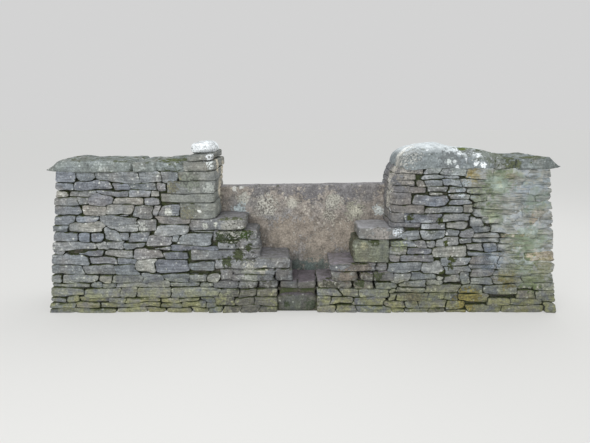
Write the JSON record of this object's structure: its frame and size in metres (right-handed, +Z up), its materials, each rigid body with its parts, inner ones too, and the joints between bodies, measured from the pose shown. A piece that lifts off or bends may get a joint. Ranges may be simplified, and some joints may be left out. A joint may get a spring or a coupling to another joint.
{
  "type": "stone wall stile",
  "caption": "Slab stile in a dry-stone field wall: an upright slab closes the gap between two wall piers, with stepping stones built out from both sides to a low foothold.",
  "frame": {"origin": "on the ground, at the middle of the wall's length and thickness", "axes": "+X along the wall, +Y towards the field side with the slab, -Y towards the lane side with the steps, +Z up"},
  "size_m": [4.025, 0.54, 1.328],
  "materials": {
    "walling": "rough, weathered",
    "slab": "rough, weathered",
    "cap": "rough, weathered",
    "head_stone": "rough, weathered",
    "coping": "rough, weathered",
    "jamb": "rough, weathered",
    "steps": "rough, weathered"
  },
  "bodies": {
    "root": {"foot_stone": "steps", "left_coping": "coping", "left_cover_stone": "coping", "left_end_cope": "coping", "left_foot_course": "steps", "left_footing": "walling", "left_head_stone": "head_stone", "left_jamb_stone_1": "jamb", "left_jamb_stone_2": "jamb", "left_jamb_stone_3": "jamb", "left_jamb_stone_4": "jamb", "left_jamb_stone_5": "jamb", "left_low_bearer": "steps", "left_low_step": "steps", "left_lower_lift": "walling", "left_middle_bearer": "steps", "left_middle_step": "steps", "left_top_step": "steps", "left_upper_lift": "walling", "right_cap": "cap", "right_coping": "coping", "right_end_cope": "coping", "right_foot_course": "steps", "right_footing": "walling", "right_jamb_stone_1": "jamb", "right_jamb_stone_2": "jamb", "right_jamb_stone_3": "jamb", "right_jamb_stone_4": "jamb", "right_jamb_stone_5": "jamb", "right_jamb_stone_6": "jamb", "right_jamb_stone_7": "jamb", "right_jamb_stone_8": "jamb", "right_low_bearer": "steps", "right_low_step": "steps", "right_lower_lift": "walling", "right_step_block": "steps", "right_top_step": "steps", "right_upper_lift": "walling", "slab": "slab", "threshold_stone": "steps"}
  },
  "joints": []
}
